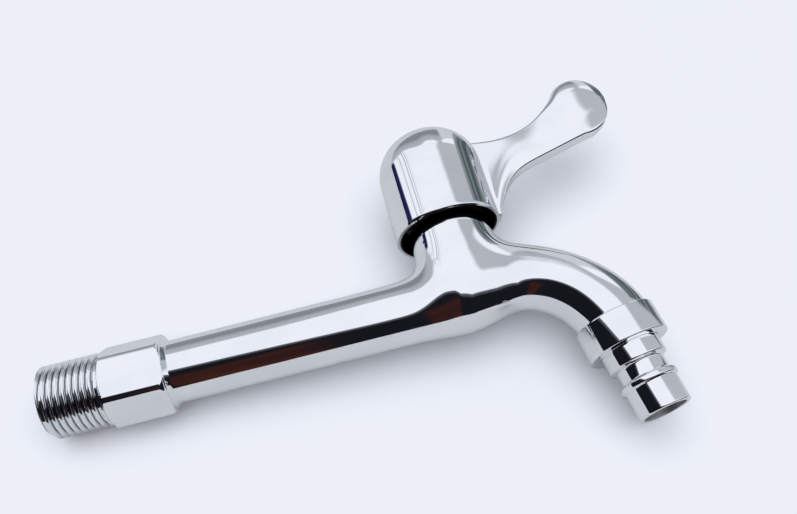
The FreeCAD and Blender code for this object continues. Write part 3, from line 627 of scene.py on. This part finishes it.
# the handle: a turned cap and a lever that grows out of its wall
handle = {
    "capRadius": 16.2,
    "capWall": 1.5,
    "rim": 22.4,
    "rimEdge": 0.4,
    "domeStart": 43.5,
    "domeRise": 14.7,
    "domeFullness": 0.96,  # under 1 makes rounder shoulders
    "bossRadius": 7.2,
    "bossBottom": 41.6,
    "bossBore": 4.05,
    "boreTop": 52.05,
    "smallEdge": 0.3,
    "saddleStart": 12.0,
    "rootTop": 49.9,
    "rootLow": 23.0,
    "rootFoot": 16.8,
    "saddleRadius": 30.0,
    "throatX": 37.5,
    "throatZ": 40.6,
    "throatPower": 4.5,
    "heelX": 51.3,
    "heelZ": 44.4,
    "knobX": 53.4,
    "knobZ": 56.9,
    "knobRadius": 9.4,
    "knobJoin": 0.8,  # how much of its radius before its middle the saddle runs into it
    "thickness": 11.0,
    "flat": 5.0,
    "lowEdge": 0.6,
    "neckSlim": 1.9,
    "neckSpread": 13.0,
    "neckEdge": 1.3,
    "knobEdge": 6.6,
    "knobSwell": 7.5,  # how far before the knob's middle its sides start to round off
    "knobBulge": 0.5,
    "dishDepth": 0.3,  # a shallow hollow along each side, above the lower edge
    "dishHeight": 5.2,
    "dishSpread": 2.4,
}


def makeCap():
    p = handle
    radius, inner = p["capRadius"], p["capRadius"] - p["capWall"]
    turns = np.linspace(0, math.pi / 2, 48)[1:-1]
    edge, small, full = p["rimEdge"], p["smallEdge"], p["domeFullness"]
    pole = 0.02  # the dome and the bore end in a ring this small
    spring, vault = p["domeStart"], p["domeRise"] - p["capWall"]
    meet = math.acos(p["bossRadius"] / inner)
    outline = [(radius - edge, p["rim"]), (radius - edge * 0.3, p["rim"] + edge * 0.25)]
    outline += [(radius, p["rim"] + edge)]
    outline += [(radius, z) for z in np.linspace(p["rim"] + 1, spring, 16)]
    outline += [(radius * math.cos(t) ** full, spring + p["domeRise"] * math.sin(t) ** full) for t in turns]
    outline += [(pole, spring + p["domeRise"]), (pole, p["boreTop"]), (p["bossBore"], p["boreTop"])]
    outline += [(p["bossBore"], p["bossBottom"] + small), (p["bossBore"] + small, p["bossBottom"])]
    outline += [(p["bossRadius"] - small, p["bossBottom"]), (p["bossRadius"], p["bossBottom"] + small)]
    outline += [(inner * math.cos(t), spring + vault * math.sin(t)) for t in np.linspace(meet, 0, 20)]
    outline += [(inner, p["rim"] + small), (inner + edge / 2, p["rim"])]
    verts, faces = ringSkin(lathe(outline, tap["towerX"]))
    makePiece("handleCap", verts, faces, "turning_parts", "handle", 30, "cappedChrome")
    return len(faces)


def leverTop(reach):
    p = handle
    joinX = p["knobX"] - p["knobJoin"] * p["knobRadius"]
    if reach > joinX:
        return p["knobZ"] + math.sqrt(max(p["knobRadius"] ** 2 - (reach - p["knobX"]) ** 2, 0))
    root = Vector((p["saddleStart"], p["rootTop"]))
    join = Vector((joinX, p["knobZ"] + math.sqrt(1 - p["knobJoin"] ** 2) * p["knobRadius"]))
    chord = join - root
    rise = math.sqrt(p["saddleRadius"] ** 2 - (chord.length / 2) ** 2)
    centre = (root + join) / 2 + Vector((-chord.y, chord.x)).normalized() * rise
    return centre.y - math.sqrt(p["saddleRadius"] ** 2 - (reach - centre.x) ** 2)


def leverLow(reach):
    p = handle
    if reach <= p["rootFoot"]:
        return p["rootLow"]
    slope = (p["heelZ"] - p["throatZ"]) / (p["heelX"] - p["throatX"])
    straight = p["throatZ"] + slope * (reach - p["throatX"])
    if reach < p["throatX"]:
        share = (p["throatX"] - reach) / (p["throatX"] - p["rootFoot"])
        return straight - (straight - p["rootLow"]) * share ** p["throatPower"]
    if reach < p["heelX"]:
        return straight
    share = (reach - p["heelX"]) / (p["knobX"] + p["knobRadius"] - p["heelX"])
    return p["knobZ"] - (p["knobZ"] - p["heelZ"]) * math.sqrt(max(1 - share ** 2, 0))


# one side of the lever's section, from the middle of its underside up to the middle of its back
def leverSide(reach):
    p = handle
    top, low = leverTop(reach), leverLow(reach)
    swell = p["knobRadius"] + p["knobSwell"]
    fade = math.sqrt(max(1 - (max(reach - p["knobX"] + p["knobSwell"], 0) / swell) ** 2, 0))
    neck = math.exp(-((reach - p["throatX"]) / p["neckSpread"]) ** 2)
    half = (p["thickness"] / 2 - p["neckSlim"] * neck) * fade
    flat = p["flat"] / 2 * fade
    share = smooth(p["throatX"] + p["neckEdge"], p["knobX"] - p["neckEdge"], reach)
    rounding = p["neckEdge"] + (p["knobEdge"] - p["neckEdge"]) * share
    down, inward = min(rounding, (top - low) * 0.45), min(rounding, half * 0.85)  # so that it can't fold
    edge = min(p["lowEdge"], flat * 0.5)
    side = [(0.0, low), (flat * 0.5, low), (flat - edge, low), (flat - edge * 0.3, low + edge * 0.3)]
    for s in np.linspace(0.0, 1.0, 34):
        z = low + edge + (top - down - low - edge) * s
        dish = p["dishDepth"] * fade * math.exp(-((z - low - p["dishHeight"]) / p["dishSpread"]) ** 2)
        bulge = p["knobBulge"] * share * fade * math.sin(math.pi * s)
        side.append((flat + (half - flat) * s + bulge - dish, z))
    for turn in np.linspace(0, math.pi / 2, 16)[1:]:
        side.append((half - inward + inward * math.cos(turn), top - down + down * math.sin(turn)))
    return side + [((half - inward) * 0.5, top), (0.0, top)]


# how far from the tower's axis the middle of the cap's wall is
def wallReach(y, z):
    p = handle
    middle = p["capWall"] / 2
    share = min(max(z - p["domeStart"], 0) / (p["domeRise"] - middle), 0.8)  # the lever starts below this
    return math.sqrt((p["capRadius"] - middle) ** 2 * (1 - share ** 2) - y * y)


def makeLever():
    p = handle
    knob = p["knobX"] + p["knobRadius"] * np.sin(np.linspace(0, math.pi / 2 - 0.02, 34))
    rootStart = wallReach(0, p["rootTop"])
    reaches = np.concatenate([
        np.linspace(rootStart, p["rootFoot"], 6, endpoint=False),
        np.linspace(p["rootFoot"], p["knobX"], 90, endpoint=False), knob])
    rings = []
    for reach in reaches:
        side = leverSide(reach)
        whole = side + [(-y, z) for y, z in side[-2:0:-1]]
        inWall = max((p["rootFoot"] - reach) / (p["rootFoot"] - rootStart), 0)
        start = tap["towerX"] + reach
        rings.append(np.array([(start + (wallReach(y, z) - rootStart) * inWall, y, z) for y, z in whole]))
    verts, faces = ringSkin(rings, False)
    count = len(rings[0])
    faces.append(tuple(range(count))[::-1])
    faces.append(tuple(range(len(verts) - count, len(verts))))
    makePiece("handleLever", verts, faces, "turning_parts", "handle", 50)
    return len(faces)


print("handle:", makeCap() + makeLever(), "faces")


# the collar nut and the stepped hose nozzle, measured down the outlet from the end of the bend
outlet = {
    "collarStart": 0.8,
    "collarEnd": 9.9,
    "collarRadius": 11.8,
    "collarInner": 10.52,
    "collarFit": 0.1,  # room between its lip and the nozzle
    "lip": 1.6,
    "edge": 0.45,  # rounding of the outer edges, and below of the others
    "innerEdge": 0.15,
    "shoulderRadius": 8.5,
    "shoulderEnd": 14.8,
    "shoulderEdge": 0.35,
    "grooveStart": 15.5,
    "grooveRadius": 6.95,
    "grooveEnd": 19.4,
    "grooveEdge": 0.4,
    "ringRadius": 8.3,
    "ringStart": 19.9,
    "ringLast": 21.3,
    "ringEnd": 21.7,
    "ringEdge": 0.3,
    "tipRadius": 7.55,
    "tipEnd": 29.4,
    "bore": 6.2,
    "boreEdge": 0.2,
    "flange": 10.1,
    "flangeStart": 6.85,
    "flangeEnd": 8.25,
}


def onOutlet(verts):
    x, z = outletFoot()[:2]
    turn = Matrix.Rotation(math.radians(180 - tap["outletTilt"]), 3, "Y")
    return verts @ np.array(turn).T + np.array([tap["towerX"] + x, 0, z])


def makeCollar():
    p = outlet
    fit, floor = p["shoulderRadius"] + p["collarFit"], p["collarEnd"] - p["lip"]
    corners = [
        (p["collarInner"], p["collarStart"], p["innerEdge"]),
        (p["collarRadius"], p["collarStart"], p["edge"]), (p["collarRadius"], p["collarEnd"], p["edge"]),
        (fit, p["collarEnd"], p["innerEdge"]), (fit, floor, 0.0), (p["collarInner"], floor, 0.0)]
    verts, faces = ringSkin(lathe(rounded(corners)))
    makePiece("collarNut", onOutlet(verts), faces, "fixed_parts", "collar_nut", 30)
    return len(faces)


def makeNozzle():
    p = outlet
    corners = [
        (p["bore"], p["flangeStart"], 0.0), (p["flange"], p["flangeStart"], 0.0),
        (p["flange"], p["flangeEnd"], 0.0), (p["shoulderRadius"], p["flangeEnd"], 0.0),
        (p["shoulderRadius"], p["shoulderEnd"], p["shoulderEdge"]),
        (p["grooveRadius"], p["grooveStart"], p["ringEdge"]),
        (p["grooveRadius"], p["grooveEnd"], p["grooveEdge"]),
        (p["ringRadius"], p["ringStart"], p["ringEdge"]), (p["ringRadius"], p["ringLast"], p["ringEdge"]),
        (p["tipRadius"], p["ringEnd"], p["innerEdge"]), (p["tipRadius"], p["tipEnd"], p["edge"]),
        (p["bore"], p["tipEnd"], p["boreEdge"])]
    verts, faces = ringSkin(lathe(rounded(corners)))
    makePiece("hoseNozzle", onOutlet(verts), faces, "fixed_parts", "nozzle", 25, "boredChrome")
    return len(faces)


print("outlet:", makeCollar() + makeNozzle(), "faces")


# the photograph's camera, in millimetres from the foot of the tower
photoCamera = {
    "place": (-34.159, -214.283, -89.139),
    "right": (0.96874, 0.04428, -0.24411),
    "down": (-0.23739, 0.45137, -0.86018),
    "ahead": (0.07210, 0.89124, 0.44777),
    "focal": 800.0,  # pixels
    "wide": 797.0,  # the picture's width in pixels
}


def makeCamera():
    p = photoCamera
    lens = bpy.data.cameras.new("photoCamera")
    lens.sensor_width = 36.0
    lens.lens = lens.sensor_width * p["focal"] / p["wide"]
    lens.clip_start = 0.005
    camera = bpy.data.objects.new("photoCamera", lens)
    turn = Matrix((p["right"], -Vector(p["down"]), -Vector(p["ahead"]))).transposed().to_4x4()
    turn.translation = (Vector(p["place"]) + Vector((tap["towerX"], 0, 0))) * mm
    camera.matrix_world = turn
    scene.collection.objects.link(camera)
    scene.camera = camera


# what the chrome meets all round, laid flat in radians from straight up: a bright ceiling, a gray wall
# beyond the tap and to its right, a dark room before it with warm wood to the left
studio = {
    "ceiling": (0.915, 0.93, 1.0),
    "wall": (0.24, 0.25, 0.27),
    "brightWall": (0.62, 0.64, 0.69),
    "wallShade": [(0.0, 0.6), (0.25, 0.5), (0.5, 0.0), (0.9, 0.1)],  # from dark to bright above its edge
    "sideWall": (0.48, 0.495, 0.54),
    "farRight": (0.075, 0.1, 0.105),
    "farRightTwo": (0.2, 0.23, 0.24),
    "edge": (0.1, 0.11, 0.13),
    "dark": (0.008, 0.009, 0.013),
    "wood": (0.075, 0.02, 0.012),
    "woodTwo": (0.03, 0.011, 0.01),
    "navy": (0.012, 0.014, 0.07),
    "pale": (0.5, 0.52, 0.57),
    "wallEdge": [
        (-1.6, 0.95), (-1.2, 0.92), (-0.7, 0.98), (-0.3, 0.8), (-0.1, 0.8), (0.1, 0.95), (0.3, 0.92),
        (0.5, 0.8), (0.8, 1.0), (1.6, 1.1)],
    "darkEdge": [
        (-1.7, 0.86), (-1.3, 0.66), (-0.9, 0.34), (-0.55, 0.04), (-0.35, -0.12), (-0.17, -0.3),
        (0.0, -0.48), (0.25, -0.66), (0.6, -0.58), (0.9, -0.48), (1.2, -0.28), (1.6, 0.0)],
    # where each patch fades in from its left and out to its right, then in from below and out above
    "palePatch": ((-1.3, -1.2), (-0.8, -0.6), (0.4, 0.5), None),
    "farPatch": ((0.99, 1.1), None, (0.53, 0.65), (1.2, 1.5)),
    "woodPatch": ((-0.36, -0.26), (-0.12, -0.02), None, (-0.75, -0.55)),
    "navyPatch": ((-1.48, -1.42), (-1.24, -1.18), (0.6, 0.66), (0.88, 0.98)),
    "openingPatch": ((0.55, 0.65), (0.98, 1.04), None, None),  # an opening in the walls to the right
    "openingFloor": (0.7, 0.78),
    "sidePatch": (None, None, (-0.02, 0.2), None),
    "sideEdge": (0.28, 0.45),  # where the gray to the right starts, at its nearest
    "sideHeight": 0.6,
    "sideSlope": 0.4,
    "paleStreaks": (24.0, 0.56, 0.62),  # how fine, and which part of the noise fades from none to full
    "farStreaks": (7.0, 0.4, 0.6),
    "woodStreaks": (3.0, 0.35, 0.65),
    "woodShare": 0.9,
    "lamp": 3.4,  # a soft round light overhead, for all but the mirror
    "lampEdge": (0.42, 0.76),
    "fill": 0.2,
    "backdrop": (0.847, 0.871, 0.942),
}


def makeStudio():
    p = studio
    world = bpy.data.worlds.new("studio")
    scene.world = world
    world.use_nodes = True
    tree = world.node_tree
    tree.nodes.clear()
    start = Socket(tree)
    facing = start.node("ShaderNodeTexCoord").other("Generated")
    way = start.node("ShaderNodeSeparateXYZ", values={0: facing})
    x, y, z = way.other("X"), way.other("Y"), way.other("Z")
    off = start.maths("ARCCOSINE", -y)  # angle from straight up
    flat = start.maths("SQRT", x * x + z * z) + 0.0001
    u, v = x * off / flat, z * off / flat

    def border(stops):  # its height v for each u, over a ramp from -2 to 2
        ramp = [((place + 2) / 4, (height + 2) / 4) for place, height in stops]
        return start.node("ShaderNodeValToRGB", {"stops": ramp}, {0: (u + 2.0) * 0.25}) * 4.0 - 2.0

    def streaks(fineness, low, high):  # upright streaks, from 0 to 1
        spot = start.node("ShaderNodeCombineXYZ", values={"X": u * fineness, "Y": v * 0.8})
        noise = start.node("ShaderNodeTexNoise", {"noise_dimensions": "2D"}, {
            "Vector": spot, "Scale": 1.0, "Detail": 1.0})
        return noise.step(low, high)

    def patch(left, right, low, high):
        rising = [value.step(*fade) for value, fade in ((u, left), (v, low)) if fade]
        falling = [1 - value.step(*fade) for value, fade in ((u, right), (v, high)) if fade]
        return math.prod(rising + falling)

    above, below = v - border(p["wallEdge"]), border(p["darkEdge"]) - v
    gap = patch(*p["openingPatch"])
    shade = start.node("ShaderNodeValToRGB", {"stops": p["wallShade"]}, {0: above})
    wall = start.maths("MAXIMUM", shade, gap).blend((*p["wall"], 1), (*p["brightWall"], 1))
    farRight = streaks(*p["farStreaks"]).blend((*p["farRight"], 1), (*p["farRightTwo"], 1))
    wood = streaks(*p["woodStreaks"]).blend((*p["wood"], 1), (*p["woodTwo"], 1))
    right = u - start.maths("ABSOLUTE", p["sideHeight"] - v) * p["sideSlope"]
    side = right.step(*p["sideEdge"]) * patch(*p["sidePatch"]) * (1 - gap * v.step(*p["openingFloor"]))
    sky = side.blend((*p["ceiling"], 1), (*p["sideWall"], 1))
    for color, mask in (
            ((*p["pale"], 1), patch(*p["palePatch"]) * streaks(*p["paleStreaks"])),
            (wall, above.step(-0.03, 0.05)),
            (farRight, patch(*p["farPatch"])),
            ((*p["edge"], 1), below.step(-0.02, 0.03)),
            ((*p["dark"], 1), below.step(0.03, 0.16)),
            (wood, patch(*p["woodPatch"]) * p["woodShare"]),
            ((*p["navy"], 1), patch(*p["navyPatch"]))):
        sky = mask.blend(sky, color)

    rays = start.node("ShaderNodeLightPath")
    lamp = (1 - off.step(*p["lampEdge"])) * p["lamp"] + p["fill"]
    mirrored = start.node("ShaderNodeBackground", values={"Color": sky})
    soft = start.node("ShaderNodeBackground", values={"Color": (1, 1, 1, 1), "Strength": lamp})
    plain = start.node("ShaderNodeBackground", values={"Color": (*p["backdrop"], 1)})
    lit = start.node("ShaderNodeMixShader", values={
        0: rays.other("Is Diffuse Ray"), 1: mirrored, 2: soft})
    seen = start.node("ShaderNodeMixShader", values={0: rays.other("Is Camera Ray"), 1: lit, 2: plain})
    start.node("ShaderNodeOutputWorld", values={"Surface": seen})


# the table the tap lies on, close to the inlet and farther from the lever, and darker in the chrome
table = {
    "below": 10.95,  # behind the tube's axis at the inlet, as the tap lies with its front up
    "slopeX": 0.055,
    "slopeZ": 0.135,
    "reach": 3000.0,
    "rightEdge": 226.0,  # past it the chrome meets the room, and the picture's white hides it
    "color": (0.83, 0.853, 0.925),
    "mirrorColor": (0.56, 0.575, 0.6),
}


def makeTable():
    p = table
    far = p["reach"]
    corners = [(x, p["below"] + x * p["slopeX"] + z * p["slopeZ"], z)
               for x, z in ((-far, -far), (p["rightEdge"], -far), (p["rightEdge"], far), (-far, far))]
    mesh = bpy.data.meshes.new("tableTop")
    mesh.from_pydata((np.array(corners) * mm).tolist(), [], [(0, 1, 2, 3)])
    floor = bpy.data.objects.new("tableTop", mesh)
    scene.collection.objects.link(floor)
    paper = bpy.data.materials.new("tablePaper")
    paper.use_nodes = True
    tree = paper.node_tree
    tree.nodes.clear()
    start = Socket(tree)
    front = start.node("ShaderNodeBsdfDiffuse", values={"Color": (*p["color"], 1)})
    mirrored = start.node("ShaderNodeBsdfDiffuse", values={"Color": (*p["mirrorColor"], 1)})
    rays = start.node("ShaderNodeLightPath")
    lit = start.node("ShaderNodeMixShader", values={
        0: rays.other("Is Glossy Ray"), 1: front, 2: mirrored})
    clear = start.node("ShaderNodeBsdfTransparent")
    back = start.node("ShaderNodeNewGeometry").other("Backfacing")  # unseen from under the table
    both = start.node("ShaderNodeMixShader", values={0: back, 1: lit, 2: clear})
    start.node("ShaderNodeOutputMaterial", values={"Surface": both})
    mesh.materials.append(paper)


# the photograph's whites stop at a cool pale tone, so the picture's curves level off there
whitePoint = (0.847, 0.871, 0.942)
knee = 0.004  # how far below it they start to


def levelWhites():
    view = scene.view_settings
    view.view_transform = "Standard"
    view.use_curve_mapping = True
    curves = view.curve_mapping
    for index, top in enumerate(whitePoint):
        points = curves.curves[index].points
        points[0].location = (0.0, 0.0)
        points[1].location = (1.0, top)
        points.new(top, top - knee)
        for point in points:
            point.handle_type = "VECTOR"
    curves.update()


makeCamera()
makeStudio()
makeTable()
levelWhites()
print("camera, studio and table")
